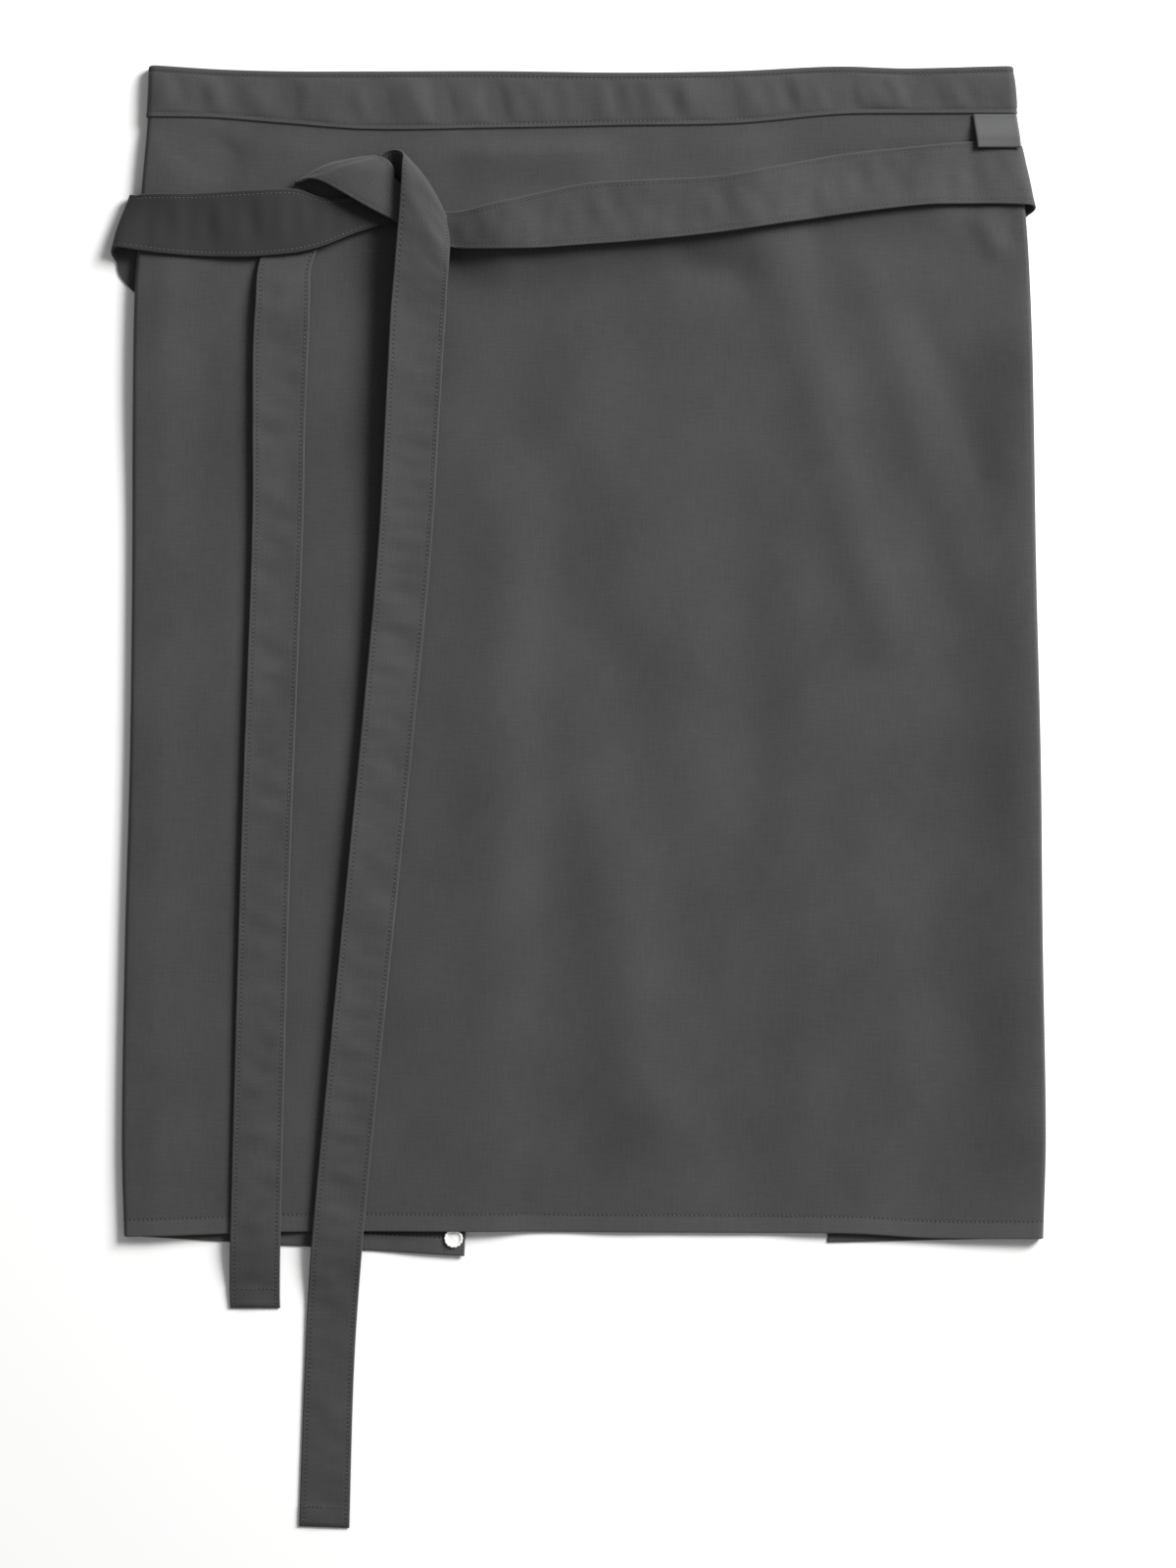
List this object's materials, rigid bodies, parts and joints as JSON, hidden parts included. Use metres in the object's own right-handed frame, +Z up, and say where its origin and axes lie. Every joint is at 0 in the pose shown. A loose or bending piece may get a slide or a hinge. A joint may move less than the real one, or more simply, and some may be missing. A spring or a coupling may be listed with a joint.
{
  "type": "waist apron",
  "caption": "Long waist apron of dark twill, folded flat, with a waistband, tapered ties knotted in front, a bare label tab and a press stud on a corner.",
  "frame": {"origin": "middle of the whole outline, on the surface that the folded apron lies on", "axes": "+Z up out of the front's face, +Y towards the waistband, +X to the wearer's left, the viewer's right"},
  "size_m": [0.6386, 1.0006, 0.0237],
  "materials": {
    "twill": "matt dark grey twill, fine diagonal weave, topstitched",
    "label_tape": "bare woven tape, slightly lighter grey",
    "stud_metal": "pressed nickel plate, softly worn"
  },
  "bodies": {
    "root": {"apron_panel": "twill", "waistband": "twill", "tie_left": "twill", "tie_right": "twill", "label_tab": "label_tape", "snap_cap": "stud_metal", "snap_back": "stud_metal"}
  },
  "joints": []
}
